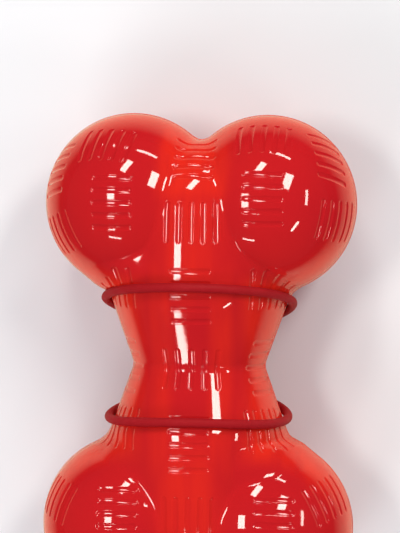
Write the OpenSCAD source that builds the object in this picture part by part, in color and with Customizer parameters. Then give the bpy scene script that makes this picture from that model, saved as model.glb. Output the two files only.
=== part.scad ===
// Rubber chew bone with two wire ties round its neck.
// The long axis lies along Y and the front face looks up, along +Z.
// The origin is on the floor below the waist, and the toy rests on its four knobs.
// Lengths are in millimetres and angles in degrees.

/* [Knobs] */
// Radius of each of the four round knobs
knob_r = 24.8; // [23:0.1:27]
// Distance of a knob's centre from the long axis
knob_out = 18.9; // [17.5:0.1:21]
// Distance of a knob's centre from the waist, along the axis
knob_along = 45.2; // [43:0.1:48]
// Radius of the hollow sweep where the neck runs out into a knob
root_r = 5.6; // [5:0.1:6.5]

/* [Spine] */
// Radius of the spine between the knobs
spine_r = 24.8; // [23:0.1:25.5]
// Radius at which the two necks would meet if the waist were sharp
waist_r = 18.3; // [16:0.1:19]
// How far past the knob roots' centres the neck reaches the spine's radius
neck_past = 1.4; // [1:0.1:2]
// Distance from the waist to the flat at the end of the spine
end_along = 62.9; // [61:0.1:65]
// Radius of the flat at the end of the spine
end_flat_r = 8.3; // [7:0.1:10]
// Rounding at the bottom of the waist
waist_round = 4; // [2:0.5:6]
// Rounding where the neck meets the spine
shoulder_round = 12; // [8:0.5:12]

/* [Moulding] */
// Thickness of the rubber round the hollow inside
wall = 9; // [7:0.5:11]
// Width of the parting line's ridge, over both halves
seam_w = 0.7; // [0.5:0.1:1]
// How far the parting line's ridge stands out
seam_out = 0.15; // [0.1:0.05:0.25]

/* [Grooves] */
// Grooves in a group
groove_count = 5; // [3:1:5]
// Length of a groove over its round ends
groove_len = 11.8; // [9:0.1:12.5]
// Width of a groove
groove_w = 1.7; // [1.2:0.1:2]
// Distance from one groove to the next
groove_pitch = 3.5; // [3:0.1:3.8]
// Depth of a groove
groove_depth = 0.45; // [0.3:0.05:0.6]
// How far past the knob roots' centres the neck's front groups lie
neck_group_past = 3.6; // [2:0.1:5]
// Distance of the spine's front groups from the waist
spine_group_along = 40.8; // [38:0.1:42]
// How far past the knob roots' centres the upper neck's side groups lie
upper_group_past = 5.3; // [3:0.1:6]
// How far past the knob roots' centres the lower neck's side groups lie
lower_group_past = 0.2; // [0:0.1:3]
// Distance of the knobs' upper rim groups from the parting line, round the knob
rim_upper_lift = 10; // [9.5:0.1:11]
// Distance of the knobs' lower rim groups from the parting line, round the knob
rim_lower_lift = 13.4; // [12:0.1:15]
// Least distance from the waist's side grooves to the parting line
seam_clear = 0.7; // [0.5:0.1:1]

/* [Ties] */
// Diameter of a tie's plastic coat
tie_d = 2.5; // [2:0.1:2.7]
// Diameter of the wire inside the coat
wire_d = 0.9; // [0.7:0.1:1.2]
// Gap between the wire and its coat, all round
wire_clear = 0.03; // [0.02:0.01:0.05]
// Gap between a tie and the neck
tie_clear = 0.3; // [0.2:0.05:0.5]
// How far past the knob roots' centres the upper tie lies, at the front
upper_front_past = 6.2; // [5:0.1:7]
// How far past the knob roots' centres the upper tie lies, at the sides
upper_side_past = 0.6; // [0:0.1:0.8]
// How far short of the knob roots' centres the lower tie lies, at the front
lower_front_short = 2.7; // [1:0.1:4]
// How far short of the knob roots' centres the lower tie lies, at the sides
lower_side_short = 2.3; // [1:0.1:4]
// Share of the way to the knob roots' centres where both ties lie, at the back, clear of the floor
back_share = 0.53; // [0.48:0.01:0.56]
// Gap between a tie's two strands where they are twisted
strand_gap = 0.5; // [0.45:0.05:0.8]
// Radius at which a strand bends out of the loop into the twist
strand_bend = 2.5; // [2:0.1:3]
// Length of one full turn of the twist
twist_pitch = 9; // [8:0.5:12]
// How far a tie's twisted ends reach past the waist
tail_past = 0.5; // [0:0.1:1.5]

/* [Hidden] */
$fn = 96;

rubber = "#cf1f26";
coat = "#a81d25";
steel = "#c9ccd1";

// Rounded corners stand this far past a true tangent, so that the arcs and lines cross.
proud = 0.02;
// The root's sweep is sunk this far into the neck that it grows from.
root_sink = 0.4;
// Cuts run this far past what they cut.
overrun = 1;
far = end_along + knob_out + knob_r;

root_x = spine_r + root_r - root_sink - knob_out;
root_y = knob_along - sqrt(pow(knob_r + root_r - proud, 2) - pow(root_x, 2));
neck_slope = (spine_r - waist_r) / (root_y + neck_past);
neck_angle = atan(neck_slope);
dome_r = spine_r - end_flat_r;
dome_along = end_along - dome_r;
shoulder_x = spine_r - shoulder_round;
shoulder_y = root_y + neck_past + shoulder_round * tan(neck_angle / 2);
waist_x = waist_r + waist_round / cos(neck_angle);
to_knob = atan2(knob_along - root_y, -root_x);
to_shoulder = atan2(shoulder_y - root_y, shoulder_x - knob_out - root_x);

// Lays what stands along Z down along the toy's axis.
module along_y() {
    rotate([-90, 0, 0]) children();
}

// Half of the spine's outline, from the waist to one end, moved outward by grow.
module spine_outline(grow) {
    slant = grow / cos(neck_angle);
    arc = shoulder_round + grow;
    hollow = waist_round - grow;
    intersection() {
        square([spine_r + grow + overrun, end_along + grow]);
        union() {
            polygon([[0, 0],
                     [waist_r + slant, 0],
                     [shoulder_x + arc * cos(neck_angle), shoulder_y - arc * sin(neck_angle)],
                     [spine_r + grow, shoulder_y],
                     [spine_r + grow, dome_along],
                     [end_flat_r, end_along + grow],
                     [0, end_along + grow]]);
            translate([shoulder_x, shoulder_y]) circle(arc + proud);
            translate([end_flat_r, dome_along]) circle(dome_r + grow);
            difference() {
                polygon([[0, 0],
                         [waist_x, 0],
                         [waist_x - hollow * cos(neck_angle), hollow * sin(neck_angle)],
                         [0, hollow * sin(neck_angle)]]);
                translate([waist_x, 0]) circle(hollow + proud);
            }
        }
    }
}

module spine(grow) {
    along_y() rotate_extrude() {
        spine_outline(grow);
        mirror([0, 1]) spine_outline(grow);
    }
}

// The swept root of a knob, turned about the knob's own axis.
module root(grow) {
    sweep = root_r - grow;
    base_y = root_y + sweep * sin(to_shoulder);
    top_x = root_x + sweep * cos(to_knob);
    top_y = root_y + sweep * sin(to_knob);
    rotate_extrude() difference() {
        translate([0, base_y]) square([top_x, top_y - base_y]);
        translate([root_x, root_y]) circle(sweep);
    }
}

module knobs(grow) {
    for (side = [-1, 1], end = [-1, 1])
        translate([side * knob_out, end * knob_along, 0]) sphere(knob_r + grow);
}

module roots(grow) {
    for (side = [-1, 1]) {
        translate([side * knob_out, 0, 0]) rotate([-90, 0, 0]) root(grow);
        translate([side * knob_out, 0, 0]) rotate([90, 0, 0]) root(grow);
    }
}

// The toy's outer form, moved outward by grow.
module form(grow) {
    spine(grow);
    knobs(grow);
    roots(grow);
}

// One groove's outline, long side along X, run through the skin at height zero.
module pill() {
    reach = knob_r / 3;
    straight = groove_len - groove_w;
    linear_extrude(height = reach, center = true) {
        square([straight, groove_w], center = true);
        for (end = [-1, 1]) translate([end * straight / 2, 0]) circle(groove_w / 2);
    }
}

// Steps that spread a group evenly on both sides of its middle.
steps = [for (i = [0:groove_count - 1]) i - (groove_count - 1) / 2];

// Turns children about the long axis, from the front toward +X.
module round_axis(angle) {
    rotate([0, angle, 0]) children();
}

// Grooves round the spine, each along Y, centred at along and at angle.
module lengthwise_group(along, angle, radius) {
    for (i = steps)
        round_axis(angle + i * groove_pitch / radius * 180 / PI)
            translate([0, along, radius]) rotate([0, 0, 90]) pill();
}

// Grooves across the spine, spread along Y, centred at along and at angle.
module crosswise_group(along, angle, radius) {
    for (i = steps)
        round_axis(angle) translate([0, along + i * groove_pitch, radius]) pill();
}

// Grooves across the spine's domed end, stepped round the dome's own centre.
dome_group_angle = 50;
module dome_group(end) {
    for (i = steps)
        translate([0, end * dome_along, end_flat_r])
            rotate([-end * (dome_group_angle + i * groove_pitch / dome_r * 180 / PI), 0, 0])
                translate([0, 0, dome_r]) pill();
}

function unit(v) = v / norm(v);

// Grooves on a knob: heading points at the group's middle, and run is the way that the grooves lie.
module knob_group(side, end, heading, run) {
    out = unit(heading);
    lay = unit(run - (run * out) * out);
    across = cross(out, lay);
    translate([side * knob_out, end * knob_along, 0])
        multmatrix([[lay.x, across.x, out.x, 0],
                    [lay.y, across.y, out.y, 0],
                    [lay.z, across.z, out.z, 0]])
            for (i = steps)
                rotate([i * groove_pitch / knob_r * 180 / PI, 0, 0])
                    translate([0, 0, knob_r]) pill();
}

// Each knob's side and end, then its groups' angles: the face group outward and toward the end,
// the top group likewise, and the two rim groups round the knob from its outermost point.
knob_table = [[-1, 1, 8, 2, 14, 45, 24, -25],
              [1, 1, 2, 6, 0, 51, 37, -11],
              [-1, -1, 2, -12, 0, 51, 37, -22],
              [1, -1, 12, -7, 14, 45, 24, -26]];

// Slope of the upper rim grooves, as seen from the front.
rim_slant = 26;
rim_upper_angle = rim_upper_lift / knob_r * 180 / PI;
rim_lower_angle = rim_lower_lift / knob_r * 180 / PI;

module knob_grooves() {
    for (k = knob_table) {
        side = k[0];
        end = k[1];
        upper = [side * cos(k[6]), end * sin(k[6]), tan(rim_upper_angle)];
        slant = [side * cos(rim_slant), -end * sin(rim_slant)];
        knob_group(side, end, [side * tan(k[2]), end * tan(k[3]), 1], [1, 0, 0]);
        knob_group(side, end, [side * tan(k[4]), end * sin(k[5]), cos(k[5])], [0, 1, 0]);
        knob_group(side, end, upper,
                   [slant.x, slant.y, -(slant.x * upper.x + slant.y * upper.y) / upper.z]);
        knob_group(side, end,
                   [side * cos(k[7]), end * sin(k[7]), tan(rim_lower_angle)],
                   [side * sin(k[7]), -end * cos(k[7]), 0]);
    }
}

// Middle angles of the groups on the necks' and the waist's sides.
neck_side_angle = 58;
waist_side_angle = 90 - asin(groove_len / 2 / waist_r) - asin(seam_clear / waist_r);

module spine_grooves() {
    lengthwise_group(0, 0, waist_r);
    for (end = [-1, 1]) {
        dome_group(end);
        lengthwise_group(end * spine_group_along, 0, spine_r);
        crosswise_group(end * (root_y + neck_group_past), 0, spine_r);
    }
    for (side = [-1, 1]) {
        lengthwise_group(root_y + upper_group_past, side * neck_side_angle, spine_r);
        lengthwise_group(-root_y - lower_group_past, side * neck_side_angle, spine_r);
        crosswise_group(0, side * waist_side_angle, waist_r);
    }
}

// One moulded half, with face 1 for the front and -1 for the back.
module half_shell(face) {
    translate([0, 0, knob_r]) mirror([0, 0, (1 - face) / 2]) difference() {
        intersection() {
            union() {
                form(0);
                intersection() {
                    form(seam_out);
                    cube([2 * far, 2 * far, seam_w], center = true);
                }
            }
            translate([-far, -far, 0]) cube([2 * far, 2 * far, far]);
        }
        spine(-wall);
        knobs(-wall);
        difference() {
            union() {
                knob_grooves();
                spine_grooves();
            }
            form(-groove_depth);
        }
    }
}

module front_half() {
    color(rubber) half_shell(1);
}

module back_half() {
    color(rubber) half_shell(-1);
}

// Radius of the neck at a distance from the waist.
function neck_r(along) = min(waist_r + neck_slope * abs(along), spine_r);

tie_r = tie_d / 2;
twist_r = tie_r + strand_gap / 2;
seat = (tie_r + tie_clear) / cos(neck_angle);
twist_angle = 148;
loop_steps = 36;
bend_steps = 4;
twist_steps = 16;
tie_sides = 10;

// A loop's distance from the waist at an angle from the front: t holds it at the front and the sides.
function loop_along(t, a) =
    let (front = t[0], side = t[1], back = back_share * root_y)
    (front + back + 2 * side) / 4
    + (front - back) / 2 * cos(a)
    + (front + back - 2 * side) / 4 * cos(2 * a);

// A point at an angle, a distance from the waist and a radius.
function at(a, along, r) = [r * sin(a), along, r * cos(a)];

join_along = function (t) loop_along(t, twist_angle);
loop_r = function (t, a) neck_r(loop_along(t, a)) + seat;
twist_axis_r = function (t) neck_r(join_along(t) - strand_bend) + seat + twist_r;

// One end of a tie, from the loop into the twist: way is 1 or -1 for its two strands.
function bend_point(t, way, turn) =
    let (sideways = twist_r + strand_bend * (1 - sin(turn)),
         a = twist_angle + way * sideways / loop_r(t, twist_angle) * 180 / PI,
         level = 1 - cos(turn))
    at(a, loop_along(t, a) * (1 - level) + (join_along(t) - strand_bend) * level,
       loop_r(t, a) * (1 - level) + twist_axis_r(t) * level);

function strand_point(t, way, share) =
    let (start = bend_point(t, way, 90),
         spin = 360 * (start.y + tail_past) / twist_pitch * share,
         sideways = way * twist_r * cos(spin),
         outward = way * twist_r * sin(spin),
         mid = twist_axis_r(t) + outward)
    [mid * sin(twist_angle) + sideways * cos(twist_angle),
     start.y + (-tail_past - start.y) * share,
     mid * cos(twist_angle) - sideways * sin(twist_angle)];

// A tie's whole route: up one strand, once round the neck and down the other strand.
function tie_route(t) =
    let (first = twist_angle + (twist_r + strand_bend) / loop_r(t, twist_angle) * 180 / PI,
         sweep = 360 - 2 * (first - twist_angle))
    concat(
        [for (i = [twist_steps:-1:1]) strand_point(t, 1, i / twist_steps)],
        [for (i = [bend_steps:-1:1]) bend_point(t, 1, 90 * i / bend_steps)],
        [for (i = [0:loop_steps])
            let (a = first + sweep * i / loop_steps) at(a, loop_along(t, a), loop_r(t, a))],
        [for (i = [1:bend_steps]) bend_point(t, -1, 90 * i / bend_steps)],
        [for (i = [1:twist_steps]) strand_point(t, -1, i / twist_steps)]);

// Directions along a route, and side directions that turn with it as little as they can.
function tangents(p) =
    [for (i = [0:len(p) - 1]) unit(p[min(i + 1, len(p) - 1)] - p[max(i - 1, 0)])];
function carried(v, d) = unit(v - (v * d) * d);
function normals(d, i = 0, v = [0.1, 0.2, 1]) =
    i == len(d) ? [] : let (n = carried(v, d[i])) concat([n], normals(d, i + 1, n));

// Rings of points round a route.
function rings(p, r) =
    let (d = tangents(p), n = normals(d))
    [for (i = [0:len(p) - 1]) for (k = [0:tie_sides - 1])
        let (a = 360 * k / tie_sides)
        p[i] + r * (cos(a) * n[i] + sin(a) * cross(d[i], n[i]))];

// Two triangles for each side of a run of rings: flip is 1 for a surface seen from inside.
function skin(count, first, flip) =
    [for (i = [0:count - 2]) for (k = [0:tie_sides - 1])
        let (a = first + i * tie_sides + k,
             b = first + i * tie_sides + (k + 1) % tie_sides,
             c = a + tie_sides,
             d = b + tie_sides)
        each flip == 1 ? [[a, b, d], [a, d, c]] : [[a, d, b], [a, c, d]]];

module rod(p, r) {
    last = (len(p) - 1) * tie_sides;
    ends = [for (k = [1:tie_sides - 2])
        each [[0, k, k + 1], [last, last + k + 1, last + k]]];
    polyhedron(rings(p, r), concat(skin(len(p), 0, 0), ends));
}

module tube(p, outer, inner) {
    count = len(p) * tie_sides;
    last = count - tie_sides;
    ends = [for (k = [0:tie_sides - 1])
        let (m = (k + 1) % tie_sides)
        each [[k, m, count + m], [k, count + m, count + k],
              [last + k, last + count + m, last + m], [last + k, last + count + k, last + count + m]]];
    polyhedron(concat(rings(p, outer), rings(p, inner)),
               concat(skin(len(p), 0, 0), skin(len(p), count, 1), ends));
}

upper_tie = [root_y + upper_front_past, root_y + upper_side_past];
lower_tie = [root_y - lower_front_short, root_y - lower_side_short];
wire_r = wire_d / 2;

// The upper tie's twist lies at the back left, and the lower one's at the back right.
module place_upper() {
    translate([0, 0, knob_r]) mirror([1, 0, 0]) children();
}

module place_lower() {
    translate([0, 0, knob_r]) mirror([0, 1, 0]) children();
}

module upper_tie_sleeve() {
    color(coat) place_upper() tube(tie_route(upper_tie), tie_r, wire_r + wire_clear);
}

module upper_tie_wire() {
    color(steel) place_upper() rod(tie_route(upper_tie), wire_r);
}

module lower_tie_sleeve() {
    color(coat) place_lower() tube(tie_route(lower_tie), tie_r, wire_r + wire_clear);
}

module lower_tie_wire() {
    color(steel) place_lower() rod(tie_route(lower_tie), wire_r);
}

// Least gap between stretches of one tie that aren't next to each other along it.
apart = bend_steps + 2;
function least_gap(p) =
    min([for (i = [0:len(p) - 1]) for (j = [i + apart:1:len(p) - 1]) norm(p[i] - p[j])]) - tie_d;
echo(upper_tie_gap = least_gap(tie_route(upper_tie)));
echo(lower_tie_gap = least_gap(tie_route(lower_tie)));

front_half();
back_half();
upper_tie_sleeve();
upper_tie_wire();
lower_tie_sleeve();
lower_tie_wire();
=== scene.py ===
"""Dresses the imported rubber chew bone: two moulded halves, two wire ties, stage, lights, camera.

Lengths are in metres. The bone lies along Y with its pictured face up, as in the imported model.
"""

from math import asin, atan2, cos, pi, radians, sin, tan

import bmesh
import bpy
import numpy as np
from bpy.props import FloatProperty, FloatVectorProperty, IntProperty, PointerProperty
from bpy.types import Operator, Panel, PropertyGroup
from mathutils import Matrix, Vector


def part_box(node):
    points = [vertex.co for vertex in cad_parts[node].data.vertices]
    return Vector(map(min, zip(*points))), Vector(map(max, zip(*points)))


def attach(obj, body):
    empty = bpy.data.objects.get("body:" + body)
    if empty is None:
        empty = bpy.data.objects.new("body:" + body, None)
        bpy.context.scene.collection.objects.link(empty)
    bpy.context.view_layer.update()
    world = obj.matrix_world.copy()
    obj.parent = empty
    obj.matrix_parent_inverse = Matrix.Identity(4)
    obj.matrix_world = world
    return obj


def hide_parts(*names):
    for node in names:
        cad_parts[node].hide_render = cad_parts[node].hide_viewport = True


bl_info = {
    "name": "Rubber chew bone",
    "version": (1, 0, 0),
    "blender": (4, 5, 0),
    "location": "3D Viewport > Sidebar > Chew Bone",
    "description": "Builds a moulded rubber chew bone with grooves and two twisted wire ties",
    "category": "Add Mesh",
}

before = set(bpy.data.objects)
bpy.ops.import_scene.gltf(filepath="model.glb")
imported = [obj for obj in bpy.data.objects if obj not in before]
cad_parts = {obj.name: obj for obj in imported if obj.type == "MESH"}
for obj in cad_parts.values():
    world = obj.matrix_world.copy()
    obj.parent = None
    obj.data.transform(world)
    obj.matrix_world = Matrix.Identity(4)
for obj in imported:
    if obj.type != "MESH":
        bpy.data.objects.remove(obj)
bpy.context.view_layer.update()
AXIS_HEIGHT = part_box("front_half")[0].z


def length(name, description, default, low, high):
    return FloatProperty(
        name=name, description=description, default=default, min=low, max=high,
        precision=5, subtype="DISTANCE", unit="LENGTH",
    )


def colour(name, description, default):
    return FloatVectorProperty(
        name=name, description=description, default=default, size=3, min=0, max=1,
        subtype="COLOR",
    )


class BoneSizes(PropertyGroup):
    knob_radius: length("Knob Radius", "Radius of the four round knobs", 0.0248, 0.02, 0.03)
    knob_out: length("Knob Out", "From the long axis to a knob's centre", 0.0189, 0.015, 0.022)
    knob_along: length("Knob Along", "From the waist to a knob's centre", 0.0452, 0.04, 0.05)
    spine_radius: length("Spine Radius", "Radius between the knobs", 0.0248, 0.02, 0.026)
    waist_radius: length("Waist Radius", "Where the two necks would meet", 0.0183, 0.016, 0.019)
    neck_length: length("Neck Length", "From the waist to the full spine", 0.01832, 0.017, 0.02)
    spine_taper: length("Spine Taper", "Spine's slimming between the knobs", 0.0008, 0, 0.0012)
    end_along: length("End Along", "From the waist to the spine's flat end", 0.0629, 0.06, 0.065)
    end_flat: length("End Flat", "Radius of the spine's flat end", 0.004, 0.003, 0.01)
    waist_blend: length("Waist Blend", "Rounding in the waist", 0.00093, 0.0003, 0.003)
    shoulder_blend: length("Shoulder Blend", "Rounding from neck to spine", 0.0007, 0.0003, 0.003)
    crease_blend: length("Crease Blend", "Softness between knob and spine", 0.0011, 0.0005, 0.006)
    root_blend: length("Root Blend", "Softness at a knob's root", 0.0047, 0.001, 0.008)
    full_root_blend: length("Full Root Blend", "At the two fuller roots", 0.0095, 0.001, 0.012)
    valley_blend: length("Valley Blend", "Softness between two knobs' tops", 0.0014, 0.001, 0.008)
    wall: length("Wall", "Thickness of the rubber round the hollow", 0.009, 0.006, 0.012)
    seam_width: length("Seam Width", "Width of the parting ridge", 0.0007, 0.0003, 0.001)
    seam_height: length("Seam Height", "Height of the parting ridge", 0.00015, 0.00005, 0.0003)
    skin_pitch: length("Skin Pitch", "Spacing of the outer skin's points", 0.00068, 0.0005, 0.002)


class GrooveSizes(PropertyGroup):
    count: IntProperty(name="Count", description="Grooves in a group", default=5, min=3, max=5)
    length: length("Length", "Length of a groove over its round ends", 0.0118, 0.009, 0.0125)
    width: length("Width", "Width of a groove", 0.0017, 0.0012, 0.002)
    pitch: length("Pitch", "Distance from one groove to the next", 0.0035, 0.003, 0.0038)
    depth: length("Depth", "Depth of a groove's scooped floor", 0.00026, 0.0002, 0.0008)
    lip: length("Lip", "Width of the rounding over a groove's edge", 0.0002, 0.0001, 0.0004)
    neck_along: length("Neck Along", "Neck's front groups, from the waist", 0.02052, 0.019, 0.022)
    spine_along: length("Spine Along", "Spine's groups, from the waist", 0.0408, 0.038, 0.042)
    upper_side_along: length("Upper Side Along", "Upper neck's side groups", 0.02222, 0.02, 0.023)
    lower_side_along: length("Lower Side Along", "Lower neck's side groups", 0.01712, 0.016, 0.02)
    upper_lift: length("Upper Lift", "Upper rim groups, off the parting line", 0.01, 0.0095, 0.011)
    lower_lift: length("Lower Lift", "Lower rim groups, off the same line", 0.0134, 0.012, 0.015)
    seam_clear: length("Seam Clear", "Waist's side grooves, off that line", 0.0007, 0.0005, 0.001)


class TieSizes(PropertyGroup):
    coat: length("Coat", "Diameter of a tie's plastic coat", 0.0025, 0.002, 0.0027)
    wire: length("Wire", "Diameter of the wire inside the coat", 0.0009, 0.0007, 0.0012)
    clear: length("Clear", "Gap between a tie and the neck", 0.0003, 0.0001, 0.0005)
    strand_gap: length("Strand Gap", "Gap between the twisted strands", 0.0005, 0.0003, 0.0008)
    strand_bend: length("Strand Bend", "Radius out of the loop", 0.0025, 0.002, 0.003)
    twist_pitch: length("Twist Pitch", "Length of one turn of the twist", 0.009, 0.008, 0.012)
    tail_past: length("Tail Past", "The twist's reach past the waist", 0.0005, 0, 0.0015)
    upper_front: length("Upper Front", "Upper tie's front, from the waist", 0.02312, 0.022, 0.024)
    upper_side: length("Upper Side", "Upper tie's sides, from the waist", 0.01752, 0.016, 0.018)
    lower_front: length("Lower Front", "Lower tie's front, from the waist", 0.01422, 0.013, 0.017)
    lower_side: length("Lower Side", "Lower tie's sides, from the waist", 0.01462, 0.013, 0.017)
    back: length("Back", "Both ties' backs, from the waist", 0.00897, 0.008, 0.0095)


class Finishes(PropertyGroup):
    rubber: colour("Rubber", "Main colour of the rubber", (0.53, 0.0095, 0.0145))
    # Painted glow: a brighter red where light would come through the rubber.
    rubber_painted_glow: colour("Rubber Painted Glow", "Where light comes through", (0.76, 0.022, 0.011))
    # Painted rim light: a paler red where the rubber is seen at a slant.
    rubber_painted_rim: colour("Rubber Painted Rim", "Rubber seen at a slant", (0.80, 0.025, 0.012))
    # Painted shade: a darker red down in the grooves.
    rubber_groove_shade: colour("Rubber Groove Shade", "Rubber down in the grooves", (0.44, 0.006, 0.012))
    coat: colour("Tie Coat", "Main colour of the ties' coat", (0.36, 0.005, 0.010))
    coat_worn: colour("Tie Coat Worn", "Coat where it is rubbed", (0.41, 0.010, 0.017))
    steel: colour("Steel", "Cut steel wire", (0.62, 0.62, 0.64))
    steel_drawn: colour("Steel Drawn", "Wire where it is darker", (0.38, 0.37, 0.37))
    floor: colour("Floor", "Plain floor under the bone", (0.84, 0.86, 0.90))
    floor_patches: colour("Floor Patches", "Faint patches on the floor", (0.8, 0.8, 0.81))
    # Painted reflections: the floor as the rubber's gloss sees it, warm beside the bone and dark
    # farther off.
    floor_painted_reflection_near: colour("Floor Near", "Floor beside the bone, in its gloss", (0.86, 0.74, 0.56))
    floor_painted_reflection_far: colour("Floor Far", "Floor farther off, in its gloss", (0.01, 0.01, 0.01))


# Ramps along and across the bone, each from its start to its end: where the spine slims between
# the knobs, where the roots and the valley soften, and where the two fuller roots lie.
TAPER_ALONG = (0.022, 0.045)
ROOT_ALONG = (0.034, 0.024)
VALLEY_ALONG = (0.055, 0.062)
FULLER_OUT, FULLER_FROM, FULLER_TO = (0.008, 0.018), (0.0195, 0.0225), (0.034, 0.027)

# How far the sampled skins reach, as half widths, and the spacing of the hollow's points.
SKIN_REACH = (0.0452, 0.0715, 0.0262)
HOLLOW_REACH, HOLLOW_PITCH = (0.036, 0.062, 0.017), 0.0017

# Smoothing of a sampled skin: its turns, the share of the way moved in each, the turns from one
# settling to the next, and the steps of a settling.
SMOOTHING_TURNS, SMOOTHING_SHARE, SETTLE_EVERY, SETTLE_STEPS = 24, 0.6, 6, 4

# Grooves: how near a groove's middle its points lie, how far from the skin it counts, and the
# distance given to points near none.
NEAR_MIDDLE, NEAR_SKIN, FAR_FROM_GROOVE = 0.008, 0.004, 0.01

# Points within this share of the skin's pitch are moved onto a groove's level, and then count as
# on it within this distance. Moves along the skin divide by no squared slope under LEAST_SLOPE.
# LEAST_DIVISOR stands in for a slope or gap of zero.
SNAP_SHARE, ON_LEVEL, LEAST_SLOPE, LEAST_DIVISOR = 0.22, 2e-5, 0.2, 1e-9

TRIANGLE_LIMIT = 199000


def blend_min(a, b, width):
    """The smaller of two distances, rounded over a width."""
    near = np.maximum(width - np.abs(a - b), 0) / width
    return np.minimum(a, b) - near * near * width / 4


def ramp(value, start, end):
    share = np.clip((value - start) / (end - start), 0, 1)
    return share * share * (3 - 2 * share)


def spine_distance(s, x, y, z):
    """Distance to the spine: a barrel with round ends, narrowed by the two tapered necks."""
    around = np.hypot(x, z) + s.spine_taper * ramp(np.abs(y), *TAPER_ALONG)
    round_off = s.spine_radius - s.end_flat
    across = around - s.end_flat
    beyond = np.abs(y) - (s.end_along - round_off)
    barrel = (
        np.hypot(np.maximum(across, 0), np.maximum(beyond, 0))
        + np.minimum(np.maximum(across, beyond), 0)
        - round_off
    )
    slant = atan2(s.spine_radius - s.waist_radius, s.neck_length)
    level = (around - s.waist_radius) * cos(slant)
    necks = blend_min(level - y * sin(slant), level + y * sin(slant), s.waist_blend)
    return -blend_min(-barrel, -necks, s.shoulder_blend)


def bone_distance(s, p):
    """Distance from points to the bone's outer skin, negative inside. The axis is at zero."""
    x, y, z = p[..., 0], p[..., 1], p[..., 2]
    along = np.abs(y)
    knob = (
        np.sqrt((np.abs(x) - s.knob_out) ** 2 + (along - s.knob_along) ** 2 + z * z)
        - s.knob_radius
    )
    fuller = (
        ramp(-x * np.sign(y), *FULLER_OUT) * ramp(along, *FULLER_FROM) * ramp(along, *FULLER_TO)
    )
    softness = (
        s.crease_blend
        + (s.root_blend - s.crease_blend) * ramp(along, *ROOT_ALONG)
        + (s.full_root_blend - s.root_blend) * fuller
        + (s.valley_blend - s.crease_blend) * ramp(along, *VALLEY_ALONG)
    )
    return blend_min(spine_distance(s, x, y, z), knob, softness)


def slope(distance, p):
    """Direction in which a distance grows, by small steps."""
    step = 1e-5
    steps = np.eye(3) * step
    grown = [distance(p + steps[a]) - distance(p - steps[a]) for a in range(3)]
    return np.stack(grown, -1) / (2 * step)


def facing(distance, p):
    """Outward direction of the surface at points."""
    n = slope(distance, p)
    return n / np.linalg.norm(n, axis=1)[:, None]


def settle(distance, p, flat):
    """Moves points onto the surface. Those marked flat stay in the parting plane."""
    for _ in range(SETTLE_STEPS):
        g = slope(distance, p)
        g[flat, 2] = 0
        p = p - g * (distance(p) / np.maximum((g * g).sum(-1), LEAST_DIVISOR))[:, None]
    return p


def half_skin(distance, reach, pitch):
    """Points and quads of the surface above the parting plane, and which points lie in it."""
    sides = [np.arange(-r, r + pitch, pitch) for r in reach[:2]]
    heights = (np.arange(int(reach[2] / pitch) + 2) - 0.5) * pitch
    grid = np.stack(np.meshgrid(*sides, heights, indexing="ij"), -1)
    inside = distance(grid) < 0
    shape = np.array(inside.shape) - 1
    held = sum(
        inside[i : shape[0] + i, j : shape[1] + j, k : shape[2] + k].astype(int)
        for i in (0, 1) for j in (0, 1) for k in (0, 1)
    )
    active = (held > 0) & (held < 8)
    number = -np.ones(active.shape, int)
    number[active] = np.arange(active.sum())
    cells = np.argwhere(active)
    points = grid[cells[:, 0], cells[:, 1], cells[:, 2]] + pitch / 2
    faces = []
    for a in range(3):
        b, c = (a + 1) % 3, (a + 2) % 3
        first = np.take(inside, range(inside.shape[a] - 1), a)
        second = np.take(inside, range(1, inside.shape[a]), a)
        at = np.argwhere(first != second)
        at = at[(at[:, b] > 0) & (at[:, c] > 0) & (at[:, b] < shape[b]) & (at[:, c] < shape[c])]
        if a == 2:
            at = at[at[:, 2] > 0]
        back_b, back_c = np.eye(3, dtype=int)[b], np.eye(3, dtype=int)[c]
        ring = [at - back_b - back_c, at - back_c, at, at - back_b]
        quad = np.stack([number[r[:, 0], r[:, 1], r[:, 2]] for r in ring], 1)
        outward = first[at[:, 0], at[:, 1], at[:, 2]]
        faces.append(np.where(outward[:, None], quad, quad[:, ::-1]))
    return points, np.concatenate(faces), cells[:, 2] == 0


def smoothed_skin(distance, reach, pitch):
    """A half skin whose points are spread evenly over the surface, as triangles."""
    p, quads, flat = half_skin(distance, reach, pitch)
    p[flat, 2] = 0
    p = settle(distance, p, flat)
    edges = np.concatenate([quads[:, [i, (i + 1) % 4]] for i in range(4)])
    edges = np.unique(np.sort(edges, 1), axis=0)
    rim = flat[edges].all(1)
    inner = ~flat[edges]
    a, b = (
        np.concatenate([
            edges[inner[:, 0], i], edges[inner[:, 1], 1 - i], edges[rim, i], edges[rim, 1 - i],
        ])
        for i in (0, 1)
    )
    count = np.bincount(a, minlength=len(p))[:, None]
    for turn in range(1, SMOOTHING_TURNS + 1):
        mean = np.stack([np.bincount(a, p[b, i], len(p)) for i in range(3)], 1) / count
        move = SMOOTHING_SHARE * (mean - p)
        n = facing(distance, p)
        p = p + move - (move * n).sum(1)[:, None] * n
        p[flat, 2] = 0
        if turn % SETTLE_EVERY == 0:
            p = settle(distance, p, flat)
    short = np.linalg.norm(p[quads[:, 0]] - p[quads[:, 2]], axis=1) < np.linalg.norm(
        p[quads[:, 1]] - p[quads[:, 3]], axis=1
    )
    tris = np.where(
        short[:, None], quads[:, [0, 1, 2, 0, 2, 3]], quads[:, [1, 2, 3, 1, 3, 0]]
    ).reshape(-1, 3)
    return p, tris, flat


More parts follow.
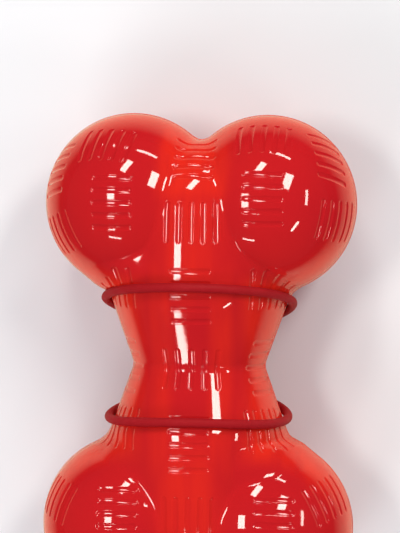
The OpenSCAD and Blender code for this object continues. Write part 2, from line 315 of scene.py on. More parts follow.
def split_at(p, tris, flat, level, settle_on):
    """Splits the triangles that a level of zero crosses, with new points on that level."""
    sign = np.sign(level)[tris]
    edges = np.concatenate([tris[:, [i, (i + 1) % 3]] for i in range(3)])
    edges = np.unique(np.sort(edges, 1), axis=0)
    cut = level[edges[:, 0]] * level[edges[:, 1]] < 0
    cut_edges = edges[cut]
    share = level[cut_edges[:, 0]] / (level[cut_edges[:, 0]] - level[cut_edges[:, 1]])
    added = p[cut_edges[:, 0]] + share[:, None] * (p[cut_edges[:, 1]] - p[cut_edges[:, 0]])
    added_flat = flat[cut_edges].all(1)
    added = settle_on(added, added_flat)
    size = len(p)
    keys = cut_edges[:, 0] * size + cut_edges[:, 1]

    def middle(a, b):
        low, high = np.minimum(a, b), np.maximum(a, b)
        return size + np.searchsorted(keys, low * size + high)

    crossed = (sign.max(1) > 0) & (sign.min(1) < 0)
    kept = [tris[~crossed]]
    t, g = tris[crossed], sign[crossed]
    touching = (g == 0).any(1)
    turned = t[touching]
    if len(turned):
        first = np.argmax(g[touching] == 0, 1)
        turned = np.stack([turned[np.arange(len(turned)), (first + i) % 3] for i in range(3)], 1)
        m = middle(turned[:, 1], turned[:, 2])
        kept += [
            np.stack([turned[:, 0], turned[:, 1], m], 1),
            np.stack([turned[:, 0], m, turned[:, 2]], 1),
        ]
    t, g = t[~touching], g[~touching]
    lone = np.argmax(g == -np.sign(g.sum(1))[:, None], 1)
    t = np.stack([t[np.arange(len(t)), (lone + i) % 3] for i in range(3)], 1)
    m, n = middle(t[:, 0], t[:, 1]), middle(t[:, 0], t[:, 2])
    kept += [
        np.stack([t[:, 0], m, n], 1),
        np.stack([m, t[:, 1], t[:, 2]], 1),
        np.stack([m, t[:, 2], n], 1),
    ]
    return np.concatenate([p, added]), np.concatenate(kept), np.concatenate([flat, added_flat])


def unit(v):
    v = np.array(v, float)
    return v / np.linalg.norm(v)


# Each knob's side and end, then its groups' angles in degrees: the face group outward and toward
# the end, the top group likewise, and the two rim groups round it from its outermost point.
KNOB_GROUPS = (
    (-1, 1, 8, 2, 14, 45, 24, -25),
    (1, 1, 2, 6, 0, 51, 37, -11),
    (-1, -1, 2, -12, 0, 51, 37, -22),
    (1, -1, 12, -7, 14, 45, 24, -26),
)
DOME_ANGLE, NECK_SIDE_ANGLE, RIM_SLANT = radians(54), radians(58), radians(26)


def groove_groups(s, g):
    """Each group of grooves: the point it turns about, its radius there, its outward and its long
    direction, and whether its grooves are stepped along the axis instead of turned."""
    groups = []

    def lengthwise(along, turn, radius):
        groups.append(((0, along, 0), radius, (sin(turn), 0, cos(turn)), (0, 1, 0), False))

    def crosswise(along, turn, radius):
        out, run = (sin(turn), 0, cos(turn)), (cos(turn), 0, -sin(turn))
        groups.append(((0, along, 0), radius, out, run, True))

    lengthwise(0, 0, s.waist_radius)
    dome = s.spine_radius - s.end_flat
    for end in (-1, 1):
        groups.append((
            (0, end * (s.end_along - dome), s.end_flat), dome,
            (0, end * sin(DOME_ANGLE), cos(DOME_ANGLE)), (1, 0, 0), False,
        ))
        lengthwise(end * g.spine_along, 0, s.spine_radius)
        crosswise(end * g.neck_along, 0, s.spine_radius)
    half_groove, clear = asin(g.length / 2 / s.waist_radius), asin(g.seam_clear / s.waist_radius)
    waist_turn = pi / 2 - half_groove - clear
    for side in (-1, 1):
        lengthwise(g.upper_side_along, side * NECK_SIDE_ANGLE, s.spine_radius)
        lengthwise(-g.lower_side_along, side * NECK_SIDE_ANGLE, s.spine_radius)
        crosswise(0, side * waist_turn, s.waist_radius)
    for side, end, *degrees in KNOB_GROUPS:
        face_out, face_end, top_out, top_end, upper, lower = map(radians, degrees)
        centre = (side * s.knob_out, end * s.knob_along, 0)
        upper_out = (side * cos(upper), end * sin(upper), tan(g.upper_lift / s.knob_radius))
        lower_out = (side * cos(lower), end * sin(lower), tan(g.lower_lift / s.knob_radius))
        slant = (side * cos(RIM_SLANT), -end * sin(RIM_SLANT))
        slant_fall = -(slant[0] * upper_out[0] + slant[1] * upper_out[1]) / upper_out[2]
        for heading, run in (
            ((side * tan(face_out), end * tan(face_end), 1), (1, 0, 0)),
            ((side * tan(top_out), end * sin(top_end), cos(top_end)), (0, 1, 0)),
            (upper_out, (*slant, slant_fall)),
            (lower_out, (side * sin(lower), -end * cos(lower), 0)),
        ):
            out = unit(heading)
            groups.append((centre, s.knob_radius, out, unit(run - np.dot(run, out) * out), False))
    return groups


def groove_frames(s, g):
    """Middle, long direction, cross direction and outward direction of every groove."""
    frames = []
    for centre, radius, out, lay, straight in groove_groups(s, g):
        out, lay, centre = unit(out), unit(lay), np.array(centre, float)
        across = np.cross(out, lay)
        for i in range(g.count):
            step = i - (g.count - 1) / 2
            if straight:
                frames.append((centre + radius * out + (0, step * g.pitch, 0), lay, across, out))
            else:
                turn = -step * g.pitch / radius
                turned = cos(turn) * out + sin(turn) * across
                frames.append((centre + radius * turned, lay, np.cross(turned, lay), turned))
    return frames


def groove_distance(g, frames, p):
    """Distance from points to the nearest groove's outline, negative inside, and its direction."""
    nearest = np.full(len(p), FAR_FROM_GROOVE)
    away = np.zeros_like(p)
    straight = (g.length - g.width) / 2
    for middle, lay, across, out in frames:
        near = np.flatnonzero(np.abs(p - middle).max(1) < NEAR_MIDDLE)
        rel = p[near] - middle
        u, v = rel @ lay, rel @ across
        past = np.maximum(np.abs(u) - straight, 0)
        gap = np.hypot(past, v)
        d = gap - g.width / 2
        better = (np.abs(rel @ out) < NEAR_SKIN) & (d < nearest[near])
        at = near[better]
        nearest[at] = d[better]
        grow = (past * np.sign(u))[:, None] * lay + v[:, None] * across
        away[at] = (grow / np.maximum(gap, LEAST_DIVISOR)[:, None])[better]
    return nearest, away


def slid(distance, level_of, p, rim):
    """Points moved along the surface toward a groove level. Those marked rim stay."""
    here, away = level_of(p)
    n = facing(distance, p)
    along = away - (away * n).sum(1)[:, None] * n
    along[rim] = 0
    return p - along * (here / np.maximum((along * along).sum(1), LEAST_SLOPE))[:, None]


def snapped(p, flat, distance, level_of, tolerance):
    """Moves points that nearly lie on a groove level onto it."""
    close = (np.abs(level_of(p)[0]) < tolerance) & ~flat
    q = p[close]
    none = np.zeros(len(q), bool)
    for _ in range(2):
        q = settle(distance, slid(distance, level_of, q, none), none)
    p = p.copy()
    p[close] = q
    level = level_of(p)[0]
    level[close] = np.where(np.abs(level[close]) < ON_LEVEL, 0, level[close])
    return p, level


def moulded_skin(s, g):
    """The front half's outer skin with its grooves and its share of the parting ridge:
    points, triangles, their normals, the rim's points, and the distance to the nearest groove."""

    def distance(p):
        return bone_distance(s, p)

    frames = groove_frames(s, g)
    p, tris, flat = smoothed_skin(distance, SKIN_REACH, s.skin_pitch)
    half_lip, half_width = g.lip / 2, g.width / 2
    for target in (half_lip, -half_lip, -half_width / 2):

        def level_of(q, target=target):
            d, away = groove_distance(g, frames, q)
            return d - target, away

        def settle_on(q, rim, level_of=level_of):
            for _ in range(2):
                q = slid(distance, level_of, settle(distance, q, rim), rim)
            return settle(distance, q, rim)

        p, level = snapped(p, flat, distance, level_of, SNAP_SHARE * s.skin_pitch)
        p, tris, flat = split_at(p, tris, flat, level, settle_on)
    half_seam = s.seam_width / 2
    p, tris, flat = split_at(
        p, tris, flat, p[:, 2] - half_seam, lambda q, rim: settle(distance, q, rim)
    )

    to_groove, away = groove_distance(g, frames, p)
    normal = facing(distance, p)
    steepness = 2 * g.depth / half_width
    at_edge = 1 - half_lip / half_width
    within = np.clip(-to_groove, 0, half_width)
    over_lip = np.clip((half_lip - to_groove) / g.lip, 0, 1)
    rounded = to_groove > -half_lip
    fall = -steepness * np.where(rounded, over_lip * at_edge, 1 - within / half_width)
    at_lip = steepness * at_edge * half_lip
    scoop = steepness * (within - within**2 / half_width / 2)
    below_lip = scoop - steepness * (half_lip - half_lip**2 / half_width / 2)
    sunk = np.where(rounded, at_lip * over_lip**2, below_lip + at_lip)
    near_seam = np.clip(1 - p[:, 2] / half_seam, 0, 1)
    raised = s.seam_height * near_seam**2
    rise = -2 * s.seam_height * near_seam / half_seam
    shaded = normal + fall[:, None] * away
    shaded[:, 2] -= rise
    shaded /= np.linalg.norm(shaded, axis=1)[:, None]
    outward = normal.copy()
    outward[flat, 2] = 0
    p = p + (raised - sunk)[:, None] * outward
    return p, tris, shaded, flat, to_groove


# Painted glow: a brighter red where light would come through the rubber. Each patch's strength and
# its ramps across and along the bone. STRIPE_OUT is the stripe's distance from the long axis,
# ROOT_OUT a ramp round a knob.
LIT_SPINE = 0.5, (0.0125, 0.003), (0.010, 0.030)
LIT_STRIPE, STRIPE_OUT = (0.5, (0.005, 0.001), (0.036, 0.020)), 0.0085
LIT_DOME = 0.8, (0.0125, 0.006), (0.043, 0.051)
LIT_ROOT, ROOT_OUT = (1, (0.010, 0.02), (0.042, 0.026)), (0.017, 0.024)


def lit_through(s, p):
    """How much painted glow the skin gets at points, where light would come through the rubber."""
    x, y = np.abs(p[:, 0]), np.abs(p[:, 1])

    def patch(away, strength, across, along):
        return strength * ramp(away, *across) * ramp(y, *along)

    beside_knob = ramp(np.hypot(x - s.knob_out, y - s.knob_along), *ROOT_OUT)
    return np.max([
        patch(x, *LIT_SPINE),
        patch(np.abs(x - STRIPE_OUT), *LIT_STRIPE),
        patch(x, *LIT_DOME),
        patch(x, *LIT_ROOT) * beside_knob,
    ], axis=0)


def closed_half(s, skin):
    """Joins the outer skin to the hollow's skin across the parting face."""
    p, tris, normals, flat, to_groove = skin

    def hollow(q):
        return bone_distance(s, q) + s.wall

    inner, inner_tris, inner_flat = smoothed_skin(hollow, HOLLOW_REACH, HOLLOW_PITCH)
    size = len(p)
    points = np.concatenate([p, inner])
    faces = np.concatenate([tris, inner_tris[:, ::-1] + size])
    bm = bmesh.new()
    rim_numbers = np.flatnonzero(np.concatenate([flat, inner_flat]))
    at = [bm.verts.new(q) for q in points[rim_numbers]]
    place = {number: i for i, number in enumerate(rim_numbers)}
    edges = np.sort(np.concatenate([faces[:, [i, (i + 1) % 3]] for i in range(3)]), 1)
    edges, times = np.unique(edges, axis=0, return_counts=True)
    for a, b in edges[times == 1]:
        bm.edges.new((at[place[a]], at[place[b]]))
    bmesh.ops.triangle_fill(bm, use_beauty=True, use_dissolve=False, edges=bm.edges[:])
    bm.verts.index_update()
    cap = []
    for f in bm.faces:
        corners = [rim_numbers[v.index] for v in f.verts]
        cap.append(corners if f.normal.z < 0 else corners[::-1])
    bm.free()
    cap = np.array(cap)
    shaded = np.zeros((len(points), 3))
    shaded[:size] = normals
    corner_normals = np.concatenate([
        shaded[tris].reshape(-1, 3),
        np.zeros((len(inner_tris) * 3, 3)),
        np.tile((0.0, 0.0, -1.0), (len(cap) * 3, 1)),
    ])
    looks = {
        "groove_distance": np.concatenate([to_groove, np.full(len(inner), FAR_FROM_GROOVE)]),
        # The share of painted glow at each point, where light would come through the rubber.
        "lit_through": lit_through(s, points),
    }
    return points, np.concatenate([faces, cap]), corner_normals, looks


def plain_object(name, data):
    made = bpy.data.objects.new(name, data)
    bpy.context.scene.collection.objects.link(made)
    return made


def half_object(name, half, face, material):
    """One half as an object: face is 1 for the front and -1 for its mirror image."""
    points, tris, normals, looks = half
    flip = np.array((1, 1, face))
    if face < 0:
        tris = tris[:, ::-1]
        normals = normals.reshape(-1, 3, 3)[:, ::-1].reshape(-1, 3)
    mesh = bpy.data.meshes.new(name)
    mesh.vertices.add(len(points))
    placed = points * flip + (0, 0, AXIS_HEIGHT)
    mesh.vertices.foreach_set("co", placed.astype(np.float32).ravel())
    mesh.loops.add(len(tris) * 3)
    mesh.loops.foreach_set("vertex_index", tris.astype(np.int32).ravel())
    mesh.polygons.add(len(tris))
    starts = np.arange(0, len(tris) * 3, 3, dtype=np.int32)
    mesh.polygons.foreach_set("loop_start", starts)
    mesh.polygons.foreach_set("use_smooth", np.ones(len(tris), bool))
    mesh.update(calc_edges=True)
    mesh.validate()
    for look, values in looks.items():
        layer = mesh.attributes.new(look, "FLOAT", "POINT")
        layer.data.foreach_set("value", values.astype(np.float32))
    mesh.normals_split_custom_set((normals * flip).astype(np.float32))
    mesh.materials.append(material)
    return plain_object(name, mesh)


# The twist's place round the neck from the front, the sides of a tie's coat and wire, and how far
# the cut wire stands out of its coat.
TWIST_ANGLE = radians(148)
COAT_SIDES, WIRE_SIDES, WIRE_PROUD = 24, 16, 0.0001


def tie_points(s, t, front, side):
    """A tie's route, as in part.scad: up one strand, once round the neck and down the other."""
    slant = atan2(s.spine_radius - s.waist_radius, s.neck_length)
    tie_r = t.coat / 2
    twist_r = tie_r + t.strand_gap / 2
    seat = (tie_r + t.clear) / cos(slant)
    loop_steps, bend_steps, twist_steps = 180, 12, 64

    def neck_r(along):
        return min(s.waist_radius + tan(slant) * abs(along), s.spine_radius)

    def loop_along(a):
        return (
            (front + t.back + 2 * side) / 4
            + (front - t.back) / 2 * cos(a)
            + (front + t.back - 2 * side) / 4 * cos(2 * a)
        )

    def at(a, along, r):
        return (r * sin(a), along, r * cos(a))

    def loop_r(a):
        return neck_r(loop_along(a)) + seat

    join = loop_along(TWIST_ANGLE)
    twist_axis = neck_r(join - t.strand_bend) + seat + twist_r

    def bend_point(way, turn):
        sideways = twist_r + t.strand_bend * (1 - sin(turn))
        a = TWIST_ANGLE + way * sideways / loop_r(TWIST_ANGLE)
        level = 1 - cos(turn)
        return at(
            a,
            loop_along(a) * (1 - level) + (join - t.strand_bend) * level,
            loop_r(a) * (1 - level) + twist_axis * level,
        )

    def strand_point(way, share):
        start = bend_point(way, pi / 2)
        spin = 2 * pi * (start[1] + t.tail_past) / t.twist_pitch * share
        sideways = way * twist_r * cos(spin)
        mid = twist_axis + way * twist_r * sin(spin)
        return (
            mid * sin(TWIST_ANGLE) + sideways * cos(TWIST_ANGLE),
            start[1] + (-t.tail_past - start[1]) * share,
            mid * cos(TWIST_ANGLE) - sideways * sin(TWIST_ANGLE),
        )

    first = TWIST_ANGLE + (twist_r + t.strand_bend) / loop_r(TWIST_ANGLE)
    sweep = 2 * pi - 2 * (first - TWIST_ANGLE)
    route = [strand_point(1, i / twist_steps) for i in range(twist_steps, 0, -1)]
    route += [bend_point(1, pi / 2 * i / bend_steps) for i in range(bend_steps, 0, -1)]
    for i in range(loop_steps + 1):
        a = first + sweep * i / loop_steps
        route.append(at(a, loop_along(a), loop_r(a)))
    route += [bend_point(-1, pi / 2 * i / bend_steps) for i in range(1, bend_steps + 1)]
    route += [strand_point(-1, i / twist_steps) for i in range(1, twist_steps + 1)]
    return np.array(route)


def feed(tree, socket, value):
    """Links a socket to another, or gives it a value."""
    if isinstance(value, bpy.types.NodeSocket):
        tree.links.new(value, socket)
    else:
        socket.default_value = value


def add_node(tree, kind, inputs, **settings):
    """A node with its settings, whose inputs are linked or given values."""
    made = tree.nodes.new(kind)
    for name, value in settings.items():
        setattr(made, name, value)
    for name, value in inputs.items():
        feed(tree, made.inputs[name], value)
    return made


def node_group(name, kind, inputs, outputs):
    """An empty node group: its tree, the sockets that it is given and those that it gives."""
    tree = bpy.data.node_groups.new(name, kind)
    for way, sockets in (("INPUT", inputs), ("OUTPUT", outputs)):
        for label, socket in sockets.items():
            tree.interface.new_socket(label, in_out=way, socket_type="NodeSocket" + socket)
    return tree, tree.nodes.new("NodeGroupInput").outputs, tree.nodes.new("NodeGroupOutput").inputs


def sweep_tree():
    """Sweeps a round profile along a route, for the ties' coats and wires."""
    name = "Sweep along a route"
    if name in bpy.data.node_groups:
        return bpy.data.node_groups[name]
    tree, given, result = node_group(
        name, "GeometryNodeTree",
        {"Route": "Geometry", "Radius": "Float", "Sides": "Int", "Material": "Material"},
        {"Geometry": "Geometry"},
    )
    route = add_node(tree, "GeometryNodeMeshToCurve", {"Mesh": given["Route"]}).outputs[0]
    circle = {"Radius": given["Radius"], "Resolution": given["Sides"]}
    profile = add_node(tree, "GeometryNodeCurvePrimitiveCircle", circle).outputs[0]
    curves = {"Curve": route, "Profile Curve": profile, "Fill Caps": True}
    swept = add_node(tree, "GeometryNodeCurveToMesh", curves).outputs[0]
    smooth = add_node(tree, "GeometryNodeSetShadeSmooth", {"Geometry": swept}).outputs[0]
    real = add_node(tree, "GeometryNodeRealizeInstances", {"Geometry": smooth}).outputs[0]
    surface = {"Geometry": real, "Material": given["Material"]}
    feed(tree, result["Geometry"], add_node(tree, "GeometryNodeSetMaterial", surface).outputs[0])
    return tree


def swept_object(name, route, radius, sides, material):
    """A route swept by the node tree and kept as a plain mesh."""
    line = bpy.data.meshes.new(name + "_route")
    steps = [(i, i + 1) for i in range(len(route) - 1)]
    line.from_pydata([tuple(p) for p in route], steps, [])
    source = plain_object(name + "_source", line)
    modifier = source.modifiers.new("Sweep", "NODES")
    tree = sweep_tree()
    modifier.node_group = tree
    values = {"Radius": radius, "Sides": sides, "Material": material}
    for item in tree.interface.items_tree:
        if item.in_out == "INPUT" and item.name in values:
            modifier[item.identifier] = values[item.name]
    bpy.context.view_layer.update()
    evaluated = source.evaluated_get(bpy.context.evaluated_depsgraph_get())
    mesh = bpy.data.meshes.new_from_object(evaluated)
    source.modifiers.clear()
    bpy.data.objects.remove(source)
    mesh.name = name
    for f in mesh.polygons:
        if len(f.vertices) == sides:
            f.use_smooth = False
    return plain_object(name, mesh)


def mixed_colour(tree, factor, first, second):
    """Two colours mixed by a factor: inputs 6 and 7 of a Mix node, and its output 2."""
    inputs = {0: factor, 6: first, 7: second}
    return add_node(tree, "ShaderNodeMix", inputs, data_type="RGBA").outputs[2]


# The spans of a noise's values that its masks use.
MIDDLE_SPAN, WIDE_SPAN, UPPER_SPAN = (0.35, 0.65), (0.3, 0.7), (0.5, 0.75)


def ranged(tree, value, span, target=(0.0, 1.0), kind="LINEAR"):
    """A value mapped from one span to another."""
    ends = zip(("From Min", "From Max", "To Min", "To Max"), (*span, *target))
    inputs = {"Value": value, **dict(ends)}
    return add_node(tree, "ShaderNodeMapRange", inputs, interpolation_type=kind).outputs["Result"]


def arithmetic(tree, operation, *values):
    inputs = dict(enumerate(values))
    return add_node(tree, "ShaderNodeMath", inputs, operation=operation).outputs[0]


def vector_step(tree, operation, *values):
    inputs = dict(enumerate(values))
    made = add_node(tree, "ShaderNodeVectorMath", inputs, operation=operation)
    return made.outputs["Value" if operation == "LENGTH" else "Vector"]


def noise(tree, vector, scale, detail, roughness=0.5):
    inputs = {"Vector": vector, "Scale": scale, "Detail": detail, "Roughness": roughness}
    return add_node(tree, "ShaderNodeTexNoise", inputs).outputs["Fac"]


def moulded_grain_group():
    """Fine unevenness of a surface, for the rubber, the ties' coats and their wires."""
    name = "Moulded grain"
    if name in bpy.data.node_groups:
        return bpy.data.node_groups[name]
    tree, given, result = node_group(
        name, "ShaderNodeTree",
        {"Vector": "Vector", "Grain Scale": "Float", "Ripple Scale": "Float",
         "Smooth Roughness": "Float", "Rough Roughness": "Float"},
        {"Height": "Float", "Roughness": "Float"},
    )
    grain_share, patch_scale = 0.12, 45
    vector = given["Vector"]
    grain = noise(tree, vector, given["Grain Scale"], 2)
    ripple = noise(tree, vector, given["Ripple Scale"], 1)
    height = arithmetic(tree, "ADD", arithmetic(tree, "MULTIPLY", grain, grain_share), ripple)
    feed(tree, result["Height"], height)
    patches = ranged(tree, noise(tree, vector, patch_scale, 3), MIDDLE_SPAN)
    smooth, rough = given["Smooth Roughness"], given["Rough Roughness"]
    mix = add_node(tree, "ShaderNodeMix", {0: patches, 2: smooth, 3: rough})
    feed(tree, result["Roughness"], mix.outputs[0])
    return tree


def rubber_tint_group():
    """The rubber's colour: painted glow where light would come through, streaked, and painted shade
    in grooves.
    """
    name = "Rubber tint"
    if name in bpy.data.node_groups:
        return bpy.data.node_groups[name]
    tree, given, result = node_group(
        name, "ShaderNodeTree",
        {"Vector": "Vector", "Main": "Color", "Bright": "Color", "Deep": "Color",
         "Lit Through": "Float", "Groove Distance": "Float"},
        {"Color": "Color"},
    )
    streak_scale, cloud_scale = (260, 22, 120), 38
    streak_strength, cloud_strength = (0.6, 1.15), (0.0, 0.16)
    groove_span, groove_share = (-0.0006, 0.0001), (0.1, 0.0)
    vector = given["Vector"]
    mapping = {"Vector": vector, "Scale": streak_scale}
    stretched = add_node(tree, "ShaderNodeMapping", mapping).outputs["Vector"]
    streaks = ranged(tree, noise(tree, stretched, 1, 2), MIDDLE_SPAN, streak_strength)
    # Painted glow, streaked, where light would come through the rubber.
    bright = arithmetic(tree, "MULTIPLY", given["Lit Through"], streaks)
    cloud = ranged(tree, noise(tree, vector, cloud_scale, 2), WIDE_SPAN, cloud_strength)
    share = arithmetic(tree, "MINIMUM", arithmetic(tree, "ADD", bright, cloud), 1.0)
    base = mixed_colour(tree, share, given["Main"], given["Bright"])
    # Painted shade: the grooves' floors mixed toward a darker red.
    inside = ranged(tree, given["Groove Distance"], groove_span, groove_share)
    feed(tree, result["Color"], mixed_colour(tree, inside, base, given["Deep"]))
    return tree


def new_material(name):
    """A material with its Principled shader and object coordinates."""
    material = bpy.data.materials.new(name)
    material.use_nodes = True
    tree = material.node_tree
    shader = tree.nodes["Principled BSDF"]
    position = tree.nodes.new("ShaderNodeTexCoord").outputs["Object"]
    return material, tree, shader, position


def grained(tree, position, roughness, scales=(900, 60)):
    """The moulded grain with its two roughnesses and the scales of its grain and its ripple."""
    inputs = {
        "Vector": position, "Grain Scale": scales[0], "Ripple Scale": scales[1],
        "Smooth Roughness": roughness[0], "Rough Roughness": roughness[1],
    }
    return add_node(tree, "ShaderNodeGroup", inputs, node_tree=moulded_grain_group())


def dress(tree, shader, base, grain, bump, constants):
    """Gives a shader its colour, the grain's roughness and bump, and its constant values."""
    inputs = {"Height": grain.outputs["Height"], "Distance": bump[0], "Strength": bump[1]}
    feed(tree, shader.inputs["Base Color"], base)
    feed(tree, shader.inputs["Roughness"], grain.outputs["Roughness"])
    feed(tree, shader.inputs["Normal"], add_node(tree, "ShaderNodeBump", inputs).outputs[0])
    for name, value in constants.items():
        shader.inputs[name].default_value = value


def attribute(tree, name):
    return add_node(tree, "ShaderNodeAttribute", {}, attribute_name=name).outputs["Fac"]


def opaque(rgb):
    return (*rgb, 1.0)


def rubber_material(finish):
    name = "Glossy red rubber"
    if name in bpy.data.materials:
        return bpy.data.materials[name]
    material, tree, shader, position = new_material(name)
    # The tint holds a painted glow where light would come through, and painted shade in the grooves.
    inputs = {
        "Vector": position, "Main": opaque(finish.rubber),
        "Bright": opaque(finish.rubber_painted_glow), "Deep": opaque(finish.rubber_groove_shade),
        "Lit Through": attribute(tree, "lit_through"),
        "Groove Distance": attribute(tree, "groove_distance"),
    }
    tint = add_node(tree, "ShaderNodeGroup", inputs, node_tree=rubber_tint_group())
    # Painted rim light: a paler red where the surface is seen at a slant.
    edge_span, edge_share = (0.35, 0.8), (0.0, 0.8)
    slant = tree.nodes.new("ShaderNodeLayerWeight").outputs["Facing"]
    edge = ranged(tree, slant, edge_span, edge_share, "SMOOTHSTEP")
    base = mixed_colour(tree, edge, tint.outputs["Color"], opaque(finish.rubber_painted_rim))
    grain = grained(tree, position, roughness=(0.035, 0.06))
    dress(tree, shader, base, grain, bump=(0.00004, 0.35), constants={"IOR": 1.6})
    return material


def masked_material(name, colours, mask, roughness, scales, bump, constants):
    """A grained material of two colours, mixed by a noise: its scale, detail, roughness, span
    and share."""
    if name in bpy.data.materials:
        return bpy.data.materials[name]
    material, tree, shader, position = new_material(name)
    *texture, span, share = mask
    mixed = ranged(tree, noise(tree, position, *texture), span, (0.0, share))
    base = mixed_colour(tree, mixed, *map(opaque, colours))
    grain = grained(tree, position, roughness, scales)
    dress(tree, shader, base, grain, bump, constants)
    return material


def coat_material(finish):
    return masked_material(
        "Matte red tie coat", (finish.coat, finish.coat_worn),
        mask=(320, 4, 0.7, UPPER_SPAN, 0.7), roughness=(0.55, 0.75), scales=(2600, 700),
        bump=(0.00012, 0.5), constants={"Specular IOR Level": 0.15},
    )


def steel_material(finish):
    return masked_material(
        "Cut steel wire", (finish.steel, finish.steel_drawn),
        mask=(2200, 3, 0.5, WIDE_SPAN, 0.6), roughness=(0.25, 0.42), scales=(5000, 1800),
        bump=(0.00005, 0.4), constants={"Metallic": 1.0},
    )


# A painted reflection: in reflections the floor glows beside the bone. Where that glow is centred and
# how far it reaches.
GLOW_MIDDLE, GLOW_REACH = (-0.01, -0.006, 0), 0.14


def floor_material(finish, s):
    """A pale floor that keeps the bone's shadow. In gloss it carries a painted reflection, warm near
    the bone, else dark.
    """
    material, tree, shader, position = new_material("Pale floor")
    patch_scale, patch_share = 30, (0.0, 0.04)
    patches = ranged(tree, noise(tree, position, patch_scale, 3), WIDE_SPAN, patch_share)
    base = mixed_colour(tree, patches, opaque(finish.floor), opaque(finish.floor_patches))
    from_middle = vector_step(tree, "SUBTRACT", position, GLOW_MIDDLE)
    beyond = vector_step(
        tree, "SUBTRACT", vector_step(tree, "ABSOLUTE", from_middle),
        (s.knob_out, s.knob_along, 0),
    )
    away = vector_step(tree, "LENGTH", vector_step(tree, "MAXIMUM", beyond, (0, 0, 0)))
    glow_ends = (s.knob_radius, s.knob_radius + GLOW_REACH)
    dim = ranged(tree, away, glow_ends, kind="SMOOTHSTEP")
    # Painted reflection: the colour that gloss sees, warm near the bone and dark farther off.
    reflected = mixed_colour(tree, dim, opaque(finish.floor_painted_reflection_near), opaque(finish.floor_painted_reflection_far))
    glossy = tree.nodes.new("ShaderNodeLightPath").outputs["Is Glossy Ray"]
    feed(tree, shader.inputs["Base Color"], mixed_colour(tree, glossy, base, reflected))
    shader.inputs["Roughness"].default_value = 0.9
    shader.inputs["Specular IOR Level"].default_value = 0.1
    return material


# Where the camera stands, from the bone: tilted toward its right and its upper end, and rolled.
CAMERA_RIGHT, CAMERA_UP, CAMERA_ROLL = radians(6.8), radians(3.6), radians(0.6)
FRAME_HEIGHT, CAMERA_AWAY = 0.14956, 1.2
SENSOR_HEIGHT, NEAREST_SEEN, FARTHEST_SEEN = 36, 0.01, 20
AIM = Vector((-0.00014, 0.02736, AXIS_HEIGHT))


def camera_axes():
    """The camera's right, up and backward directions."""
    back = Vector((tan(CAMERA_RIGHT), tan(CAMERA_UP), 1)).normalized()
    lean = Vector((-sin(CAMERA_ROLL), cos(CAMERA_ROLL), 0))
    right = lean.cross(back).normalized()
    return right, back.cross(right), back


def make_camera():
    right, up, back = camera_axes()
    data = bpy.data.cameras.new("Camera")
    data.sensor_fit = "VERTICAL"
    data.sensor_height = SENSOR_HEIGHT
    data.lens = SENSOR_HEIGHT * CAMERA_AWAY / FRAME_HEIGHT
    data.clip_start, data.clip_end = NEAREST_SEEN, FARTHEST_SEEN
    camera = plain_object("Camera", data)
    turn = Matrix((right, up, back)).transposed().to_4x4()
    camera.matrix_world = Matrix.Translation(AIM + back * CAMERA_AWAY) @ turn
    bpy.context.scene.camera = camera


# Small softboxes, each with its name, the directions of its two ends from the upper knobs (right,
# up and toward the camera), the angle in radians that it is wide, and its radiance.
SOFTBOXES = (
    ("slanted", (-0.254, 0.62, 0.742), (-0.075, 0.806, 0.587), 0.13, 17),
    ("tall", (0.353, 0.315, 0.881), (0.439, 0.595, 0.674), 0.17, 17),
    ("strip", (0.033, 0.94, 0.341), (0.418, 0.817, 0.397), 0.055, 15),
    ("square", (-0.50, -0.08, 0.862), (-0.50, 0.21, 0.84), 0.155, 17),
    ("edge", (0.756, 0.27, 0.597), (0.756, -0.03, 0.654), 0.06, 14),
    ("low right", (0.465, -0.56, 0.686), (0.615, -0.365, 0.70), 0.05, 18),
    ("low left", (-0.50, -0.682, 0.534), (-0.27, -0.741, 0.615), 0.035, 16),
)
LIGHTS_AWAY = 1.5
LIGHTS_COLOUR = (1.0, 0.95, 0.87)
FILL_WIDTH, FILL_ENERGY, FILL_PLACE = 0.7, 3.6, (-0.5, -0.7, 0.62)


def make_lights():
    right, up, back = camera_axes()
    middle = Vector((0, bpy.context.scene.chew_bone_sizes.knob_along, AXIS_HEIGHT))
    for name, first, last, wide, radiance in SOFTBOXES:
        start, end = (Vector(d).normalized() for d in (first, last))
        toward, run = (
            v.x * right + v.y * up + v.z * back for v in ((start + end).normalized(), end - start)
        )
        data = bpy.data.lights.new("Softbox " + name, "AREA")
        data.shape = "RECTANGLE"
        data.size, data.size_y = wide * LIGHTS_AWAY, run.length * LIGHTS_AWAY
        data.energy = radiance * pi * data.size * data.size_y
        data.color = LIGHTS_COLOUR
        lamp = plain_object(data.name, data)
        upright = (run - run.dot(toward) * toward).normalized()
        basis = Matrix((upright.cross(toward), upright, toward)).transposed().to_4x4()
        lamp.matrix_world = Matrix.Translation(middle + toward * LIGHTS_AWAY) @ basis
    data = bpy.data.lights.new("Overhead fill", "AREA")
    data.shape = "DISK"
    data.size = FILL_WIDTH
    data.energy = FILL_ENERGY
    fill = plain_object(data.name, data)
    fill.location = FILL_PLACE
    heading = Vector((0, 0, AXIS_HEIGHT)) - fill.location
    fill.rotation_euler = heading.to_track_quat("-Z", "Y").to_euler()
    fill.visible_glossy = False


# The surroundings' colour and strength: as light, in reflections, and where they are seen.
AS_LIGHT, IN_GLOSS, AS_SEEN = ((0.86, 0.92, 1.0), 0.34), ((1, 1, 1), 0.05), ((1, 1, 1), 1)


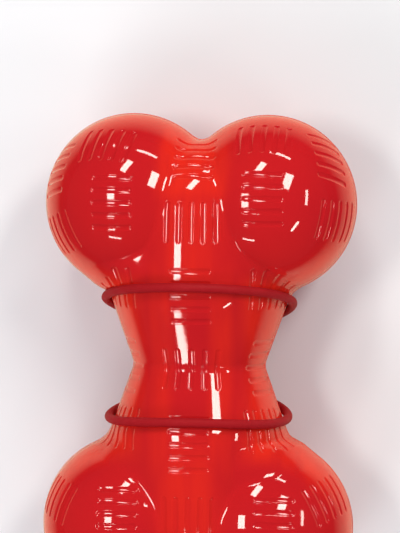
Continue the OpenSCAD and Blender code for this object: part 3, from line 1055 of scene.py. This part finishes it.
def make_world():
    world = bpy.data.worlds.new("Plain studio")
    world.use_nodes = True
    tree = world.node_tree
    tree.nodes.clear()
    path = tree.nodes.new("ShaderNodeLightPath").outputs
    light, gloss, white = (
        add_node(tree, "ShaderNodeBackground", {"Color": opaque(rgb), "Strength": strength})
        .outputs[0]
        for rgb, strength in (AS_LIGHT, IN_GLOSS, AS_SEEN)
    )
    unseen = add_node(tree, "ShaderNodeMixShader", {0: path["Is Glossy Ray"], 1: light, 2: gloss})
    direct = arithmetic(tree, "MAXIMUM", path["Is Camera Ray"], path["Is Transmission Ray"])
    inputs = {0: direct, 1: unseen.outputs[0], 2: white}
    seen = add_node(tree, "ShaderNodeMixShader", inputs)
    add_node(tree, "ShaderNodeOutputWorld", {"Surface": seen.outputs[0]})
    bpy.context.scene.world = world


FLOOR_REACH = 2.5


class CHEWBONE_OT_stage(Operator):
    """Set the camera, the pale floor, the lights and the plain surroundings"""

    bl_idname = "chew_bone.stage"
    bl_label = "Stage"

    def execute(self, context):
        make_camera()
        mesh = bpy.data.meshes.new("floor")
        r = FLOOR_REACH
        mesh.from_pydata([(-r, -r, 0), (r, -r, 0), (r, r, 0), (-r, r, 0)], [], [(0, 1, 2, 3)])
        scene = context.scene
        mesh.materials.append(floor_material(scene.chew_bone_finish, scene.chew_bone_sizes))
        plain_object("floor", mesh)
        make_lights()
        make_world()
        scene.view_settings.view_transform = "Standard"
        return {"FINISHED"}


class CHEWBONE_OT_halves(Operator):
    """Mould the two rubber halves with their grooves and their parting ridge"""

    bl_idname = "chew_bone.halves"
    bl_label = "Rubber Halves"

    def execute(self, context):
        sizes, grooves = context.scene.chew_bone_sizes, context.scene.chew_bone_grooves
        half = closed_half(sizes, moulded_skin(sizes, grooves))
        if len(half[1]) > TRIANGLE_LIMIT:
            raise RuntimeError(f"a half has {len(half[1])} triangles; widen the skin pitch")
        material = rubber_material(context.scene.chew_bone_finish)
        for name, face in (("front_half", 1), ("back_half", -1)):
            made = half_object("moulded_" + name, half, face, material)
            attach(made, "bone")
            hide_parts(name)
        return {"FINISHED"}


class CHEWBONE_OT_ties(Operator):
    """Sweep the two twisted ties: a plastic coat round a steel wire each"""

    bl_idname = "chew_bone.ties"
    bl_label = "Wire Ties"

    def execute(self, context):
        s, t = context.scene.chew_bone_sizes, context.scene.chew_bone_ties
        finish = context.scene.chew_bone_finish
        for name, front, side, flip in (
            ("upper_tie", t.upper_front, t.upper_side, (-1, 1, 1)),
            ("lower_tie", t.lower_front, t.lower_side, (1, -1, 1)),
        ):
            route = tie_points(s, t, front, side) * flip + (0, 0, AXIS_HEIGHT)
            coat = swept_object(name + "_coat", route, t.coat / 2, COAT_SIDES, coat_material(finish))
            ends = route.copy()
            for end, inner in ((0, 1), (-1, -2)):
                ends[end] += unit(route[end] - route[inner]) * WIRE_PROUD
            wire = swept_object(name + "_steel", ends, t.wire / 2, WIRE_SIDES, steel_material(finish))
            for made, node, slot in (
                (coat, name + "_sleeve", "tie_coat"), (wire, name + "_wire", "tie_wire"),
            ):
                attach(made, name)
                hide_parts(node)
        return {"FINISHED"}


class CHEWBONE_PT_panel(Panel):
    bl_idname = "CHEWBONE_PT_panel"
    bl_label = "Chew Bone"
    bl_space_type = "VIEW_3D"
    bl_region_type = "UI"
    bl_category = "Chew Bone"

    def draw(self, context):
        for operator in (CHEWBONE_OT_stage, CHEWBONE_OT_halves, CHEWBONE_OT_ties):
            self.layout.operator(operator.bl_idname)
        for group in GROUPS:
            box = self.layout.box()
            settings = getattr(context.scene, group)
            for name in settings.bl_rna.properties.keys():
                if name not in ("rna_type", "name"):
                    box.prop(settings, name)


GROUPS = {
    "chew_bone_sizes": BoneSizes,
    "chew_bone_grooves": GrooveSizes,
    "chew_bone_ties": TieSizes,
    "chew_bone_finish": Finishes,
}
CLASSES = (
    *GROUPS.values(), CHEWBONE_OT_stage, CHEWBONE_OT_halves, CHEWBONE_OT_ties, CHEWBONE_PT_panel,
)


def register():
    for c in CLASSES:
        bpy.utils.register_class(c)
    for name, group in GROUPS.items():
        setattr(bpy.types.Scene, name, PointerProperty(type=group))


def unregister():
    for name in GROUPS:
        delattr(bpy.types.Scene, name)
    for c in reversed(CLASSES):
        bpy.utils.unregister_class(c)


def main():
    register()
    bpy.ops.chew_bone.stage()
    bpy.ops.chew_bone.halves()
    bpy.ops.chew_bone.ties()


if __name__ == "__main__":
    main()
